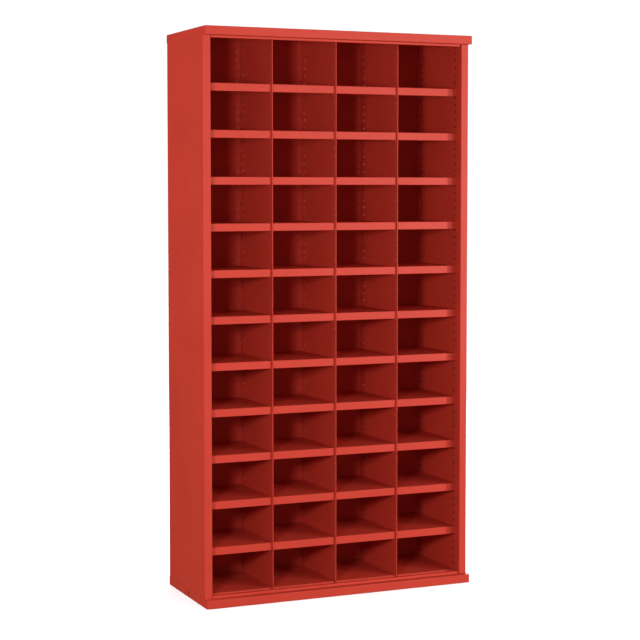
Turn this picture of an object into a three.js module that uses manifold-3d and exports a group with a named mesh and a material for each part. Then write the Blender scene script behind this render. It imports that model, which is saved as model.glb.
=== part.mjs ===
import * as THREE from 'three';
import { mergeVertices } from 'three/addons/utils/BufferGeometryUtils.js';
import Module from 'manifold-3d';

const wasm = await Module();
wasm.setup();

// Sizes in millimetres. The cabinet stands on Z = 0 with its open front towards -Y.
const totalHeight = 1860;
const bodyWidth = 950;
const bodyDepth = 357;
const sheet = 0.8;
const fitGap = 0.3;

// Lid and base are the same folded tray, one turned over
const capHeight = 28;
const ledgeDepth = 24;
const footHoleRadius = 5.5;
const footHoleHeight = 14;
const footHoleSetback = 183;

// Side walls: folded outer skins with slotted liners inside them
const flangeWidth = 26;
const flangeReturn = 14;
const rearFlange = 20;
const linerEdge = 18;

// Back panel, a shallow pan set in from the rear
const backRecess = 37;

// Rails across the front, fixed behind the ledges of the lid and the base
const railRecess = 5;
const railShow = 7;
const railReturn = 12;
const railFoot = 20;
const railEndGap = 3;

// Upright dividers, each one sheet folded in two
const dividerThickness = 3.2;
const dividerSetback = 31;

// Pigeonholes and their shelves
const columns = 4;
const rows = 12;
const shelfSetback = 38;
const shelfRearGap = 14;
const shelfSideGap = 0.5;
const shelfFlange = 16;
const lipHeight = 25.5;
const lipReturn = 8;

// Slots at each shelf level, and the clips that hang the shelf in them
const slotPitch = 25;
const slotLength = 7;
const slotHeight = 7;
const frontSlotInset = 8;
const rearSlotInset = 9;
const clipHook = 0.5;
const clipLength = 12;

// Places that follow from the sizes
const sideX = bodyWidth / 2;
const innerDepth = bodyDepth - backRecess;
const capWrap = sheet + fitGap;
const footZ = capWrap;
const headZ = totalHeight - capWrap;
const linerX = sideX - flangeWidth + sheet + fitGap;
const railTopZ = capHeight + railShow;
const columnWidth = (2 * linerX - (columns - 1) * dividerThickness) / columns;
const columnPitch = columnWidth + dividerThickness;
const shelfWidth = columnWidth - 2 * shelfSideGap;
const shelfDepth = innerDepth - shelfSetback - shelfRearGap;
const lowestDeckZ = railTopZ;
const shelfPitch = slotPitch * Math.floor((totalHeight - lowestDeckZ) / rows / slotPitch);
const deckZs = Array.from({ length: rows }, (_, row) => lowestDeckZ + row * shelfPitch);

// Slot limits, in depth from the body's front and in height from the deck of its shelf
const clipTop = -sheet / 2;
const slotTop = clipTop + fitGap;
const slotBottom = slotTop - slotHeight;
const slotYs = [
  shelfSetback + frontSlotInset,
  shelfSetback + shelfDepth - rearSlotInset,
];

// A closed geometry as a solid that can be joined and cut
function solidOf(geometry) {
  geometry.deleteAttribute('normal');
  geometry.deleteAttribute('uv');
  const merged = mergeVertices(geometry);
  return new wasm.Manifold(new wasm.Mesh({
    numProp: 3,
    vertProperties: new Float32Array(merged.attributes.position.array),
    triVerts: new Uint32Array(merged.index.array),
  }));
}

function geometryOf(solid) {
  const { vertProperties, triVerts } = solid.getMesh();
  const geometry = new THREE.BufferGeometry();
  geometry.setAttribute('position', new THREE.BufferAttribute(vertProperties, 3));
  geometry.setIndex(new THREE.BufferAttribute(triVerts, 1));
  geometry.computeVertexNormals();
  return geometry;
}

function cut(whole, tools) {
  return tools.reduce((rest, tool) => rest.subtract(tool), whole);
}

// A rectangular block between two limits on each axis
function block([x0, x1], [y0, y1], [z0, z1]) {
  const box = new THREE.BoxGeometry(Math.abs(x1 - x0), y1 - y0, z1 - z0);
  box.translate((x0 + x1) / 2, (y0 + y1) / 2, (z0 + z1) / 2);
  return solidOf(box);
}

// Outline of a sheet folded square along a path, with its thickness on the path's right for side 1
function foldedOutline(path, side = 1) {
  const steps = path.slice(1).map(([u, v], index) => {
    const along = new THREE.Vector2(u - path[index][0], v - path[index][1]).normalize();
    return new THREE.Vector2(along.y, -along.x).multiplyScalar(side * sheet);
  });
  const outer = path.map(([u, v]) => new THREE.Vector2(u, v));
  const inner = outer.map((corner, index) => {
    const offset = corner.clone();
    steps.slice(Math.max(index - 1, 0), index + 1).forEach((step) => offset.add(step));
    return offset;
  });
  return [...outer, ...inner.reverse()];
}

// An outline in X and Y, raised between two heights
function raised(outline, [z0, z1]) {
  const geometry = new THREE.ExtrudeGeometry(new THREE.Shape(outline), {
    depth: z1 - z0,
    bevelEnabled: false,
  });
  geometry.translate(0, 0, z0);
  return solidOf(geometry);
}

// An outline in Y and Z, run along X to the same length each side of the middle
function runAcross(outline, halfLength) {
  const geometry = new THREE.ExtrudeGeometry(new THREE.Shape(outline), {
    depth: 2 * halfLength,
    bevelEnabled: false,
  });
  geometry.translate(0, 0, -halfLength);
  geometry.applyMatrix4(new THREE.Matrix4().makeBasis(
    new THREE.Vector3(0, 1, 0),
    new THREE.Vector3(0, 0, 1),
    new THREE.Vector3(1, 0, 0),
  ));
  return solidOf(geometry);
}

// Open-topped tray with a ledge along its front, which the body's foot or head sits in
function capSolid() {
  const front = -ledgeDepth;
  const outerX = sideX + capWrap;
  const tray = block([-outerX, outerX], [front, bodyDepth + capWrap], [0, capHeight]);
  const hollow = [
    [front + sheet, sheet],
    [bodyDepth + fitGap, sheet],
    [bodyDepth + fitGap, capHeight + sheet],
    [-fitGap, capHeight + sheet],
    [-fitGap, capHeight - sheet],
    [front + sheet, capHeight - sheet],
  ].map(([y, z]) => new THREE.Vector2(y, z));
  return cut(tray, [runAcross(hollow, sideX + fitGap)]);
}

// Round hole at each side, through the base's flange and the skin standing inside it
function footHole() {
  const facets = 16;
  const drill = new THREE.CylinderGeometry(footHoleRadius, footHoleRadius, 2 * bodyWidth, facets);
  drill.rotateZ(Math.PI / 2);
  drill.translate(0, footHoleSetback - ledgeDepth, footHoleHeight);
  return solidOf(drill);
}

// Folded side: rear flange, outer skin, front flange and its return. side is -1 or 1.
function sideSolid(side) {
  const path = [
    [side * (sideX - rearFlange), bodyDepth],
    [side * sideX, bodyDepth],
    [side * sideX, 0],
    [side * (sideX - flangeWidth), 0],
    [side * (sideX - flangeWidth), flangeReturn],
  ];
  return cut(raised(foldedOutline(path, side), [footZ, headZ]), [footHole()]);
}

// A slot at every shelf level, at the front and at the rear, cut across two limits in X
function shelfSlots(xLimits) {
  return deckZs.flatMap((deckZ) => slotYs.map((y) => block(
    xLimits,
    [y - slotLength / 2, y + slotLength / 2],
    [deckZ + slotBottom, deckZ + slotTop],
  )));
}

// Slotted inner wall, with edges folded out towards the side's skin
function linerSolid(side) {
  const front = sheet + fitGap;
  const back = innerDepth - fitGap;
  const path = [
    [side * (linerX + linerEdge), front],
    [side * linerX, front],
    [side * linerX, back],
    [side * (linerX + linerEdge), back],
  ];
  const wall = raised(foldedOutline(path, side), [footZ, headZ]);
  return cut(wall, shelfSlots([side * (linerX - sheet), side * (linerX + 2 * sheet)]));
}

// Pan whose rim turns back to the rear flanges of the sides
function backSolid() {
  const halfWidth = sideX - sheet - fitGap;
  const rimEnd = bodyDepth - sheet - fitGap;
  const pan = block([-halfWidth, halfWidth], [innerDepth, rimEnd], [footZ, headZ]);
  const hollow = block(
    [sheet - halfWidth, halfWidth - sheet],
    [innerDepth + sheet, rimEnd + sheet],
    [footZ + sheet, headZ - sheet],
  );
  return cut(pan, [hollow]);
}

// Stop strip that stands behind the base's ledge, with its foot under the ledge
function railSolid() {
  const footUnder = capHeight - 2 * sheet - fitGap;
  const path = [
    [railRecess + railReturn, railTopZ - sheet],
    [railRecess + sheet, railTopZ - sheet],
    [railRecess + sheet, footUnder],
    [railRecess - railFoot, footUnder],
  ];
  return runAcross(foldedOutline(path), sideX - flangeWidth - railEndGap);
}

// Sheet folded in two round its front edge, with both skins slotted
function dividerSolid() {
  const half = dividerThickness / 2;
  const back = innerDepth - fitGap;
  const path = [
    [half, back],
    [half, dividerSetback],
    [-half, dividerSetback],
    [-half, back],
  ];
  const skins = raised(foldedOutline(path), [footZ, headZ]);
  return cut(skins, shelfSlots([-dividerThickness, dividerThickness]));
}

// Folded shelf with a clip at each slot, its deck at Z = 0
function shelfSolid() {
  const half = shelfWidth / 2;
  const back = shelfSetback + shelfDepth;
  const path = [
    [shelfSetback + lipReturn, -lipHeight],
    [shelfSetback, -lipHeight],
    [shelfSetback, 0],
    [back, 0],
    [back, -shelfFlange],
  ];
  const reach = half + shelfSideGap + sheet + clipHook;
  const clips = slotYs.flatMap((y) => [-1, 1].map((side) => block(
    [side * (reach - clipLength), side * reach],
    [y - slotLength / 2 + fitGap, y + slotLength / 2 - fitGap],
    [slotBottom + fitGap, clipTop],
  )));
  return clips.reduce((shelf, clip) => shelf.add(clip), runAcross(foldedOutline(path), half));
}

// Red powder coat on steel sheet
function redPaint() {
  return new THREE.MeshStandardMaterial({ color: 0xc9392a, roughness: 0.42, metalness: 0 });
}

function painted(name, geometry) {
  const mesh = new THREE.Mesh(geometry, redPaint());
  mesh.name = name;
  return mesh;
}

// Everything is placed from the body's front face, then centred over the origin
const sorter = new THREE.Group();
sorter.position.y = (ledgeDepth - bodyDepth - capWrap) / 2;

const cap = capSolid();
const baseTray = painted('base_tray', geometryOf(cut(cap, [footHole()])));
const topLid = painted('top_lid', geometryOf(cap));
topLid.rotation.y = Math.PI;
topLid.position.z = totalHeight;
sorter.add(baseTray, topLid);

for (const [word, side] of [['left', -1], ['right', 1]]) {
  sorter.add(painted(`${word}_side`, geometryOf(sideSolid(side))));
  sorter.add(painted(`${word}_liner`, geometryOf(linerSolid(side))));
}
sorter.add(painted('back_panel', geometryOf(backSolid())));

const rail = geometryOf(railSolid());
const bottomRail = painted('bottom_rail', rail);
const topRail = painted('top_rail', rail);
topRail.rotation.y = Math.PI;
topRail.position.z = totalHeight;
sorter.add(bottomRail, topRail);

const dividerSkins = geometryOf(dividerSolid());
for (let number = 1; number < columns; number += 1) {
  const divider = painted(`divider_${number}`, dividerSkins);
  divider.position.x = (number - columns / 2) * columnPitch;
  sorter.add(divider);
}

const shelfSheet = geometryOf(shelfSolid());
for (let column = 1; column <= columns; column += 1) {
  deckZs.forEach((deckZ, row) => {
    const shelf = painted(`shelf_c${column}_r${row + 1}`, shelfSheet);
    shelf.position.set((column - (columns + 1) / 2) * columnPitch, 0, deckZ);
    sorter.add(shelf);
  });
}

export default sorter;
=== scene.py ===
import math

import bmesh
import bpy
from mathutils import Matrix, Vector


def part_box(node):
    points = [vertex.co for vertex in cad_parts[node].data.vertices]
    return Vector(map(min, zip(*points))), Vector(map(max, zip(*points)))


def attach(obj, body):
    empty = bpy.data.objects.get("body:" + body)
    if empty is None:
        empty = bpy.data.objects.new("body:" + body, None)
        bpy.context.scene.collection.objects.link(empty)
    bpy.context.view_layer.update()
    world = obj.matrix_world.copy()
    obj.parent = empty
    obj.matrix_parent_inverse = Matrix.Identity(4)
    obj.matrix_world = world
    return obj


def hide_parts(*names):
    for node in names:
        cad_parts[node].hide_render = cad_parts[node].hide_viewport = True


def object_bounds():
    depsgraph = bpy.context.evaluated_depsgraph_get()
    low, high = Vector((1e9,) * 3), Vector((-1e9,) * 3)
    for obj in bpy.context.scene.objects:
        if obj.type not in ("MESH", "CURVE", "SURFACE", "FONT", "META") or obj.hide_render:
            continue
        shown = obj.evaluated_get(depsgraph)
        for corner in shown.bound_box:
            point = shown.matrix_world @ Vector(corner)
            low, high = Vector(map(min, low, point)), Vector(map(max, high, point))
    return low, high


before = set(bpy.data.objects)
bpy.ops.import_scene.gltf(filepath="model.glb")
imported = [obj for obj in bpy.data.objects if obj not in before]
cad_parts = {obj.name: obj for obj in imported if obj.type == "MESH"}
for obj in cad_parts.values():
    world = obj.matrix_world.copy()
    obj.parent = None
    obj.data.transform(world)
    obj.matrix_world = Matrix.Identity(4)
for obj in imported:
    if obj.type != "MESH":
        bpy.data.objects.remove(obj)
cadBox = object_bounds()
scene = bpy.context.scene
print("frame loaded:", len(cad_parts), "nodes")


# folded sheet steel, in metres
sheetSteel = {
    "thickness": 0.0008,
    "fitGap": 0.0003,
    "bendRadius": 0.0018,
    "bendSteps": 5,
    "sharpAngle": 0.6,
    "straightRun": 0.01,  # how far two directions may differ in one straight run
    "closeEnough": 0.00001,
}

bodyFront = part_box("left_side")[0].y
bodyFoot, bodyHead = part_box("left_side")[0].z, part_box("left_side")[1].z
fullHeight = cadBox[1].z


# red powder coat
redCoat = {
    "red": (0.590, 0.050, 0.029, 1),
    "deepRed": (0.555, 0.045, 0.026, 1),
    "cloudScale": 5.0,
    "cloudDetail": 4,
    "cloudRange": (0.32, 0.62),
    "glossLow": 0.40,
    "glossHigh": 0.50,
    "glossScale": 60.0,
    "glossDetail": 3,
    "specular": 0.14,
    "peelScale": 620.0,  # orange peel of the sprayed coat, about 1.6 mm across
    "peelDetail": 2,
    "peelDepth": 0.00006,
    "peelStrength": 0.22,
}


def redPowderCoat():
    coat = bpy.data.materials.new("redPowderCoat")
    coat.use_nodes = True
    nodes, links = coat.node_tree.nodes, coat.node_tree.links
    shader = nodes["Principled BSDF"]
    place = nodes.new("ShaderNodeTexCoord")
    piece = nodes.new("ShaderNodeObjectInfo")
    spread = nodes.new("ShaderNodeVectorMath")  # so that the shelves don't all carry the same clouds
    spread.operation = "ADD"
    links.new(place.outputs["Object"], spread.inputs[0])
    links.new(piece.outputs["Location"], spread.inputs[1])

    clouds = nodes.new("ShaderNodeTexNoise")
    clouds.inputs["Scale"].default_value = redCoat["cloudScale"]
    clouds.inputs["Detail"].default_value = redCoat["cloudDetail"]
    links.new(spread.outputs["Vector"], clouds.inputs["Vector"])
    tone = nodes.new("ShaderNodeValToRGB")
    deep, full = tone.color_ramp.elements
    deep.position, full.position = redCoat["cloudRange"]
    deep.color, full.color = redCoat["deepRed"], redCoat["red"]
    links.new(clouds.outputs["Fac"], tone.inputs["Fac"])
    links.new(tone.outputs["Color"], shader.inputs["Base Color"])

    gloss = nodes.new("ShaderNodeTexNoise")
    gloss.inputs["Scale"].default_value = redCoat["glossScale"]
    gloss.inputs["Detail"].default_value = redCoat["glossDetail"]
    links.new(spread.outputs["Vector"], gloss.inputs["Vector"])
    glossRange = nodes.new("ShaderNodeMapRange")
    glossRange.inputs["To Min"].default_value = redCoat["glossLow"]
    glossRange.inputs["To Max"].default_value = redCoat["glossHigh"]
    links.new(gloss.outputs["Fac"], glossRange.inputs["Value"])
    links.new(glossRange.outputs["Result"], shader.inputs["Roughness"])

    peel = nodes.new("ShaderNodeTexNoise")
    peel.inputs["Scale"].default_value = redCoat["peelScale"]
    peel.inputs["Detail"].default_value = redCoat["peelDetail"]
    links.new(spread.outputs["Vector"], peel.inputs["Vector"])
    bump = nodes.new("ShaderNodeBump")
    bump.inputs["Strength"].default_value = redCoat["peelStrength"]
    bump.inputs["Distance"].default_value = redCoat["peelDepth"]
    links.new(peel.outputs["Fac"], bump.inputs["Height"])
    links.new(bump.outputs["Normal"], shader.inputs["Normal"])
    shader.inputs["Specular IOR Level"].default_value = redCoat["specular"]
    return coat


redPaint = redPowderCoat()
print("red powder coat mixed")


# a line of folds seen end on: every corner becomes a short arc, points along a straight run stay
def bentPath(corners, radius=sheetSteel["bendRadius"]):
    steps = sheetSteel["bendSteps"]
    points = [Vector(corners[0])]
    for before, corner, after in zip(corners, corners[1:], corners[2:]):
        corner = Vector(corner)
        back = (Vector(before) - corner).normalized()
        ahead = (Vector(after) - corner).normalized()
        if (back + ahead).length < sheetSteel["straightRun"]:
            points.append(corner)
            continue
        centre = corner + (back + ahead) * radius
        for step in range(steps + 1):
            turn = step / steps * math.pi / 2
            points.append(centre - (ahead * math.cos(turn) + back * math.sin(turn)) * radius)
    points.append(Vector(corners[-1]))
    return points


# slots for the shelf clips
slotCut = {
    "pitch": 0.025,
    "length": 0.007,
    "height": 0.007,
    "corner": 0.0018,
    "cornerSteps": 3,
    "cellLength": 0.018,
    "frontInset": 0.008,  # from the shelf's front and rear edges to the middles of the two slot lines
    "rearInset": 0.009,
    "belowDeck": 0.0036,  # from a deck to the middle of the slot that carries it
}


# one cell of a slotted wall, its four corners joined to a slot with rounded corners
def slottedFace(sheet, corners, length):
    a, b, c, d = corners
    middle = (a.co + c.co) / 2
    along, up = (b.co - a.co).normalized(), (d.co - a.co).normalized()
    radius, steps = slotCut["corner"], slotCut["cornerSteps"]
    sideways, upwards = length / 2 - radius, slotCut["height"] / 2 - radius
    quarters = []
    for start, x, y in ((180, -1, -1), (270, 1, -1), (0, 1, 1), (90, -1, 1)):
        centre = middle + along * x * sideways + up * y * upwards
        turns = [math.radians(start + 90 * step / steps) for step in range(steps + 1)]
        quarters.append([
            sheet.verts.new(centre + (along * math.cos(turn) + up * math.sin(turn)) * radius)
            for turn in turns
        ])
    for i in range(4):
        arc, nextArc = quarters[i], quarters[(i + 1) % 4]
        for p, q in zip(arc, arc[1:]):
            sheet.faces.new((corners[i], q, p))
        sheet.faces.new((corners[i], corners[(i + 1) % 4], nextArc[0], arc[-1]))


# sweeps a bent path through its levels; the sheet's outer face is on the right of the path,
# and slots gives the length of the slot in each cell that has one
def foldedSheet(path, levels, place, slots=None):
    slots = slots or {}
    sheet = bmesh.new()
    grid = [[sheet.verts.new(place(point, level)) for level in levels] for point in path]
    for i, (line, nextLine) in enumerate(zip(grid, grid[1:])):
        for j in range(len(levels) - 1):
            corners = [line[j], nextLine[j], nextLine[j + 1], line[j + 1]]
            if (i, j) in slots:
                slottedFace(sheet, corners, slots[i, j])
            else:
                sheet.faces.new(corners)
    return sheet


# a path drawn in plan, with levels going up
def upright(point, level):
    return Vector((point.x, point.y, level))


# a path drawn as seen from the side, with levels going from left to right
def across(point, level):
    return Vector((level, point.x, point.y))


def newPiece(name, shape):
    mesh = bpy.data.meshes.new(name)
    shape.to_mesh(mesh)
    shape.free()
    piece = bpy.data.objects.new(name, mesh)
    scene.collection.objects.link(piece)
    return piece


# puts the modifiers' result in the mesh, smooth over the bends and sharp at the cut edges
def settle(piece):
    shape = bmesh.new()
    shape.from_object(piece, bpy.context.evaluated_depsgraph_get())
    piece.modifiers.clear()
    for edge in shape.edges:
        edge.smooth = edge.calc_face_angle(0) < sheetSteel["sharpAngle"]
    for face in shape.faces:
        face.smooth = True
    shape.to_mesh(piece.data)
    shape.free()


def thicken(piece):
    skin = piece.modifiers.new("sheetThickness", "SOLIDIFY")
    skin.thickness = sheetSteel["thickness"]
    skin.offset = -1
    skin.use_even_offset = True
    settle(piece)


# paint, even shading over the flats, and the node that the piece stands for
def fitOut(piece, node):
    if not piece.data.materials:  # the shelves share one mesh
        piece.data.materials.append(redPaint)
    evenNormals = piece.modifiers.new("evenNormals", "WEIGHTED_NORMAL")
    evenNormals.keep_sharp = True
    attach(piece, "root")
    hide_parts(node)


def boxShape(low, high):
    shape = bmesh.new()
    size = Vector(high) - Vector(low)
    middle = (Vector(high) + Vector(low)) / 2
    place = Matrix.Translation(middle) @ Matrix.Diagonal((*size, 1))
    bmesh.ops.create_cube(shape, size=1, matrix=place)
    return shape


# rounds the edges that a test picks by their middle point and direction
def roundEdges(shape, picked):
    edges = []
    for edge in shape.edges:
        start, end = edge.verts[0].co, edge.verts[1].co
        if picked((start + end) / 2, end - start):
            edges.append(edge)
    bmesh.ops.bevel(
        shape,
        geom=edges,
        offset=sheetSteel["bendRadius"],
        segments=sheetSteel["bendSteps"],
        profile=0.5,
        affect="EDGES",
    )


def cutAway(piece, cutters):
    for cutter in cutters:
        tool = piece.modifiers.new("cut", "BOOLEAN")
        tool.operation = "DIFFERENCE"
        tool.solver = "EXACT"
        tool.object = cutter
    settle(piece)
    for cutter in cutters:
        bpy.data.objects.remove(cutter)


# lid and base: the same tray with a ledge along its front, the lid turned over
capTray = {
    "footHoleRadius": 0.0055,
    "footHoleHeight": 0.014,
    "footHoleSetback": 0.183,
    "footHoleSteps": 28,
    "drillLength": 2.2,  # in half widths of the base, so that it passes both sides
}


# drill for the hole near the foot, right across the cabinet
def footHole():
    low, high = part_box("base_tray")
    middle = (0, low.y + capTray["footHoleSetback"], capTray["footHoleHeight"])
    drill = bmesh.new()
    bmesh.ops.create_cone(
        drill,
        cap_ends=True,
        segments=capTray["footHoleSteps"],
        radius1=capTray["footHoleRadius"],
        radius2=capTray["footHoleRadius"],
        depth=capTray["drillLength"] * high.x,
        matrix=Matrix.Translation(middle) @ Matrix.Rotation(math.pi / 2, 4, "Y"),
    )
    return newPiece("footHole", drill)


def capPiece(name, node, turnedOver):
    low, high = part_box("base_tray")
    wall, gap, near = sheetSteel["thickness"], sheetSteel["fitGap"], sheetSteel["closeEnough"]

    def folds(middle, along):
        closed = middle.z < low.z + near or middle.y < low.y + near
        return closed or abs(along.z) > near

    tray = boxShape(low, high)
    roundEdges(tray, folds)
    tray = newPiece(name, tray)
    roomUnderLedge = newPiece("roomUnderLedge", boxShape(
        (low.x + wall, low.y + wall, low.z + wall),
        (high.x - wall, high.y - wall, high.z - wall),
    ))
    mouth = newPiece("mouth", boxShape(
        (low.x + wall, bodyFront - gap, high.z - 3 * wall),
        (high.x - wall, high.y - wall, high.z + wall),
    ))
    cutters = [roomUnderLedge, mouth]
    if not turnedOver:
        cutters.append(footHole())
    cutAway(tray, cutters)
    if turnedOver:
        tray.data.transform(Matrix.Translation((0, 0, fullHeight)) @ Matrix.Rotation(math.pi, 4, "Y"))
    fitOut(tray, node)


capPiece("baseTray", "base_tray", False)
capPiece("topLid", "top_lid", True)
print("base and lid made")


# side skins: rear flange, outer face, front flange and its return
sideSkin = {"rearFlange": 0.020, "flangeWidth": 0.026, "flangeReturn": 0.014}


# the paths are written for the left, and run the other way on the right
def mirrored(corners, side):
    return corners if side < 0 else [(-x, y) for x, y in reversed(corners)]


def sidePiece(word, side):
    low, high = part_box("left_side")
    outer, inner = low.x, low.x + sideSkin["flangeWidth"]
    corners = [
        (outer + sideSkin["rearFlange"], high.y),
        (outer, high.y),
        (outer, low.y),
        (inner, low.y),
        (inner, low.y + sideSkin["flangeReturn"]),
    ]
    skin = foldedSheet(bentPath(mirrored(corners, side)), [bodyFoot, bodyHead], upright)
    skin = newPiece(word + "Side", skin)
    thicken(skin)
    cutAway(skin, [footHole()])
    fitOut(skin, word + "_side")


# where slots go: two lines down each wall, at every pitch
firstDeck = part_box("shelf_c1_r1")[1].z
shelfFront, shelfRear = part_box("shelf_c1_r1")[0].y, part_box("shelf_c1_r1")[1].y
slotLines = (shelfFront + slotCut["frontInset"], shelfRear - slotCut["rearInset"])
firstSlot = firstDeck - slotCut["belowDeck"]
slotCount = int((bodyHead - firstSlot) / slotCut["pitch"])
slotLevels = [bodyFoot]  # then halfway between slots, all the way up
slotLevels += [firstSlot + (k - 0.5) * slotCut["pitch"] for k in range(slotCount + 1)]
slotLevels += [bodyHead]


def slotBreaks(x):
    half = slotCut["cellLength"] / 2
    return [(x, line + step) for line in slotLines for step in (-half, half)]


# the cells along both lines, with the length of the front slots and of the rear ones
def slotCells(path, frontLength, rearLength):
    cells = {}
    for i, (p, q) in enumerate(zip(path, path[1:])):
        for line, length in zip(slotLines, (frontLength, rearLength)):
            if abs((p.y + q.y) / 2 - line) < sheetSteel["closeEnough"]:
                cells.update({(i, j): length for j in range(1, len(slotLevels) - 2)})
    return cells


def linerPiece(word, side):
    low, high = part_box("left_liner")
    corners = [
        (low.x, low.y),
        (high.x, low.y),
        *slotBreaks(high.x),
        (high.x, high.y),
        (low.x, high.y),
    ]
    path = bentPath(mirrored(corners, side))
    slots = slotCells(path, slotCut["length"], slotCut["length"])
    wall = newPiece(word + "Liner", foldedSheet(path, slotLevels, upright, slots))
    thicken(wall)
    fitOut(wall, word + "_liner")


for word, side in (("left", -1), ("right", 1)):
    sidePiece(word, side)
    linerPiece(word, side)
print("sides and slotted liners made")


# back panel: a shallow pan with its rim towards the rear
def backPiece():
    low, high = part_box("back_panel")
    wall, near = sheetSteel["thickness"], sheetSteel["closeEnough"]
    pan = boxShape(low, high)
    roundEdges(pan, lambda middle, along: middle.y < low.y + near or abs(along.y) > near)
    pan = newPiece("backPanel", pan)
    hollow = newPiece("hollow", boxShape(
        (low.x + wall, low.y + wall, low.z + wall),
        (high.x - wall, high.y + wall, high.z - wall),
    ))
    cutAway(pan, [hollow])
    fitOut(pan, "back_panel")


backPiece()
print("back panel made")


# stop strips behind the ledges of base and lid
stopRail = {"returnDepth": 0.012}


def railPiece(name, node, turnedOver):
    low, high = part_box("bottom_rail")
    front = high.y - stopRail["returnDepth"]
    corners = [
        (high.y, high.z),
        (front, high.z),
        (front, low.z + sheetSteel["thickness"]),
        (low.y, low.z + sheetSteel["thickness"]),
    ]
    rail = newPiece(name, foldedSheet(bentPath(corners), [low.x, high.x], across))
    thicken(rail)
    if turnedOver:
        rail.data.transform(Matrix.Translation((0, 0, fullHeight)) @ Matrix.Rotation(math.pi, 4, "Y"))
    fitOut(rail, node)


railPiece("bottomRail", "bottom_rail", False)
railPiece("topRail", "top_rail", True)
print("rails made")


# dividers: one sheet folded in two, slotted through both skins
dividerFold = {
    "bendRadius": 0.0014,
    "rearSlot": 0.0155,  # long enough to see through both skins into the next pigeonhole
}


def dividerPiece(number):
    low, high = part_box(f"divider_{number}")
    corners = [
        (low.x, high.y),
        *reversed(slotBreaks(low.x)),
        (low.x, low.y),
        (high.x, low.y),
        *slotBreaks(high.x),
        (high.x, high.y),
    ]
    path = bentPath(corners, dividerFold["bendRadius"])
    slots = slotCells(path, slotCut["length"], dividerFold["rearSlot"])
    divider = newPiece(f"divider{number}", foldedSheet(path, slotLevels, upright, slots))
    thicken(divider)
    fitOut(divider, f"divider_{number}")


for number in (1, 2, 3):
    dividerPiece(number)
print("dividers made")


# shelves: front lip with a return, deck, rear flange, and a clip at each slot
shelfTray = {
    "columns": 4,
    "rows": 12,
    "lipHeight": 0.0255,
    "lipReturn": 0.008,
    "rearFlange": 0.016,
    "sideGap": 0.0005,
    "clipHook": 0.0005,
    "clipLength": 0.012,
    "clipWidth": 0.0064,
    "clipTop": -0.0004,
    "clipBottom": -0.0068,
    "clipRound": 0.0012,
    "clipSteps": 3,
}


def shelfMesh():
    low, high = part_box("shelf_c1_r1")
    reach = (high.x - low.x) / 2
    half = reach - shelfTray["sideGap"] - sheetSteel["thickness"] - shelfTray["clipHook"]
    corners = [
        (shelfRear, -shelfTray["rearFlange"]),
        (shelfRear, 0),
        (shelfFront, 0),
        (shelfFront, -shelfTray["lipHeight"]),
        (shelfFront + shelfTray["lipReturn"], -shelfTray["lipHeight"]),
    ]
    shelf = newPiece("shelf", foldedSheet(bentPath(corners), [-half, half], across))
    thicken(shelf)
    whole = bmesh.new()
    whole.from_mesh(shelf.data)
    for line in slotLines:
        for side in (-1, 1):
            ends = sorted((side * reach, side * (reach - shelfTray["clipLength"])))
            clip = boxShape(
                (ends[0], line - shelfTray["clipWidth"] / 2, shelfTray["clipBottom"]),
                (ends[1], line + shelfTray["clipWidth"] / 2, shelfTray["clipTop"]),
            )
            bmesh.ops.bevel(
                clip,
                geom=clip.edges[:],
                offset=shelfTray["clipRound"],
                segments=shelfTray["clipSteps"],
                profile=0.5,
                affect="EDGES",
            )
            clipMesh = bpy.data.meshes.new("clip")
            clip.to_mesh(clipMesh)
            clip.free()
            whole.from_mesh(clipMesh)
            bpy.data.meshes.remove(clipMesh)
    whole.to_mesh(shelf.data)
    whole.free()
    settle(shelf)
    mesh = shelf.data
    bpy.data.objects.remove(shelf)
    return mesh


shelfSheet = shelfMesh()
for column in range(1, shelfTray["columns"] + 1):
    for row in range(1, shelfTray["rows"] + 1):
        node = f"shelf_c{column}_r{row}"
        low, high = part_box(node)
        shelf = bpy.data.objects.new(f"shelfC{column}R{row}", shelfSheet)
        scene.collection.objects.link(shelf)
        shelf.location = ((low.x + high.x) / 2, 0, high.z)
        fitOut(shelf, node)
print("shelves hung")


# pale floor
paleFloor = {
    "size": 60.0,
    "cells": 4,
    "drop": 0.0004,
    "tone": (0.93, 0.93, 0.93, 1),
    "shade": (0.90, 0.90, 0.90, 1),
    "grainScale": 1.5,
    "roughness": 0.9,
}


def floorPiece():
    shape = bmesh.new()
    cells = paleFloor["cells"]
    bmesh.ops.create_grid(shape, x_segments=cells, y_segments=cells, size=paleFloor["size"] / 2)
    floor = newPiece("floor", shape)
    floor.location.z = -paleFloor["drop"]
    paper = bpy.data.materials.new("palePaper")
    paper.use_nodes = True
    nodes, links = paper.node_tree.nodes, paper.node_tree.links
    shader = nodes["Principled BSDF"]
    grain = nodes.new("ShaderNodeTexNoise")
    grain.inputs["Scale"].default_value = paleFloor["grainScale"]
    tone = nodes.new("ShaderNodeValToRGB")
    tone.color_ramp.elements[0].color = paleFloor["shade"]
    tone.color_ramp.elements[1].color = paleFloor["tone"]
    links.new(grain.outputs["Fac"], tone.inputs["Fac"])
    links.new(tone.outputs["Color"], shader.inputs["Base Color"])
    shader.inputs["Roughness"].default_value = paleFloor["roughness"]
    shader.inputs["Specular IOR Level"].default_value = 0  # matt, so that it stays pale at the horizon
    floor.data.materials.append(paper)
    floor.visible_diffuse = False  # it shows and takes shadows, and throws no light back up
    floor.visible_glossy = False


floorPiece()


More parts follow.
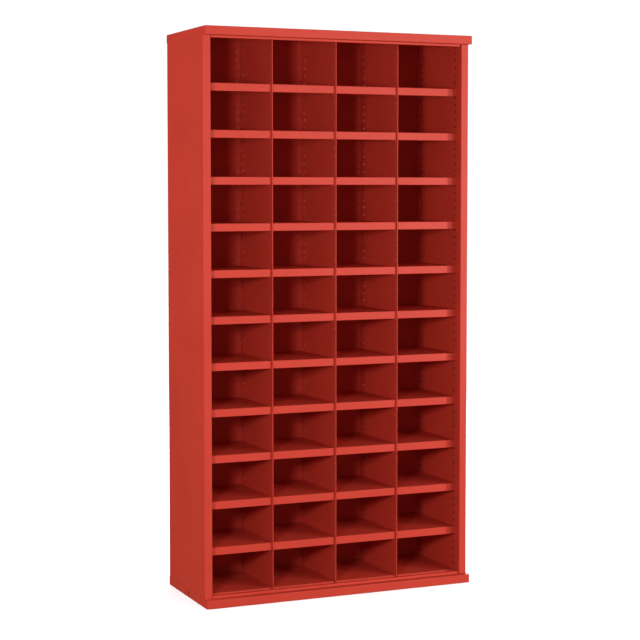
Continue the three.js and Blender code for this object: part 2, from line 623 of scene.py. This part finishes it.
# soft studio light: three lamps in front of the cabinet, one beside it, one behind and one overhead
studio = {
    "backdrop": 1.05,
    "ambient": 0.155,
    "ambientSlope": (0, -0.14, -0.03),  # more of it comes from the front and from the pale floor
    "rightLamp": {"at": (2.9, -3.05, 1.05), "aim": (0, 0, 0.9), "size": (0.45, 0.45), "power": 80},
    "leftLamp": {"at": (-2.5, -3.3, 1.45), "aim": (0, 0, 1.0), "size": (0.6, 0.5), "power": 72},
    "sideLamp": {"at": (-4.4, 0.4, 1.6), "aim": (0, 0, 1.0), "size": (1.6, 1.6), "power": 92},
    "frontLamp": {"at": (2.0, -4.05, 1.75), "aim": (0, 0, 1.3), "size": (0.8, 0.9), "power": 53},
    "rearLamp": {"at": (2.2, 4.0, 2.2), "aim": (0, 0, 0.9), "size": (1.8, 1.8), "power": 150},
    "overheadLamp": {"at": (0.3, 0.7, 4.4), "aim": (0, 0, 1.86), "size": (1.2, 1.2), "power": 55},
    "floorGlow": 3.35,
    "floorSpread": 70,  # degrees
}


def softbox(name):
    plan = studio[name]
    lamp = bpy.data.lights.new(name, "AREA")
    lamp.shape = "RECTANGLE"
    lamp.size, lamp.size_y = plan["size"]
    lamp.energy = plan["power"]
    box = bpy.data.objects.new(name, lamp)
    scene.collection.objects.link(box)
    box.location = plan["at"]
    ahead = Vector(plan["aim"]) - Vector(plan["at"])
    box.rotation_euler = ahead.to_track_quat("-Z", "Y").to_euler()


# keeps the floor pale right out to the horizon
def floorLight():
    lamp = bpy.data.lights.new("floorLamp", "SUN")
    lamp.energy = studio["floorGlow"]
    lamp.angle = math.radians(studio["floorSpread"])
    sun = bpy.data.objects.new("floorLamp", lamp)
    scene.collection.objects.link(sun)
    lit = bpy.data.collections.new("litByFloorLamp")
    lit.objects.link(bpy.data.objects["floor"])
    sun.light_linking.receiver_collection = lit


def studioLight():
    world = bpy.data.worlds.new("studioWhite")
    scene.world = world
    world.use_nodes = True
    nodes, links = world.node_tree.nodes, world.node_tree.links
    ambient = nodes["Background"]
    ambient.inputs["Color"].default_value = (1, 1, 1, 1)
    direction = nodes.new("ShaderNodeTexCoord")
    slope = nodes.new("ShaderNodeVectorMath")
    slope.operation = "DOT_PRODUCT"
    slope.inputs[1].default_value = studio["ambientSlope"]
    links.new(direction.outputs["Generated"], slope.inputs[0])
    level = nodes.new("ShaderNodeMath")
    level.inputs[1].default_value = studio["ambient"]
    links.new(slope.outputs["Value"], level.inputs[0])
    links.new(level.outputs["Value"], ambient.inputs["Strength"])
    backdrop = nodes.new("ShaderNodeBackground")
    backdrop.inputs["Color"].default_value = (1, 1, 1, 1)
    backdrop.inputs["Strength"].default_value = studio["backdrop"]
    seen = nodes.new("ShaderNodeLightPath")  # the camera sees the backdrop, the cabinet gets the ambient
    mix = nodes.new("ShaderNodeMixShader")
    links.new(seen.outputs["Is Camera Ray"], mix.inputs["Fac"])
    links.new(ambient.outputs["Background"], mix.inputs[1])
    links.new(backdrop.outputs["Background"], mix.inputs[2])
    links.new(mix.outputs["Shader"], nodes["World Output"].inputs["Surface"])
    for name in ("rightLamp", "leftLamp", "sideLamp", "frontLamp", "rearLamp", "overheadLamp"):
        softbox(name)
    floorLight()
    scene.view_settings.view_transform = "Standard"


studioLight()
print("studio lit")


# camera, for a square picture
viewpoint = {
    "at": (-2.2683, -5.21935, 1.34795),
    "turn": 23.499,  # degrees to the right of straight ahead
    "down": 3.385,
    "lens": 94.754,
    "sensor": 36.0,
    "shift": -0.05,
    "farLimit": 100.0,
}


def makeCamera():
    lens = bpy.data.cameras.new("camera")
    lens.sensor_fit = "HORIZONTAL"
    lens.sensor_width = viewpoint["sensor"]
    lens.lens = viewpoint["lens"]
    lens.shift_y = viewpoint["shift"]
    lens.clip_end = viewpoint["farLimit"]
    camera = bpy.data.objects.new("camera", lens)
    scene.collection.objects.link(camera)
    turn, down = math.radians(viewpoint["turn"]), math.radians(viewpoint["down"])
    level = math.cos(down)
    ahead = Vector((math.sin(turn) * level, math.cos(turn) * level, -math.sin(down)))
    camera.location = viewpoint["at"]
    camera.rotation_euler = ahead.to_track_quat("-Z", "Y").to_euler()
    scene.camera = camera


makeCamera()
print("camera placed")
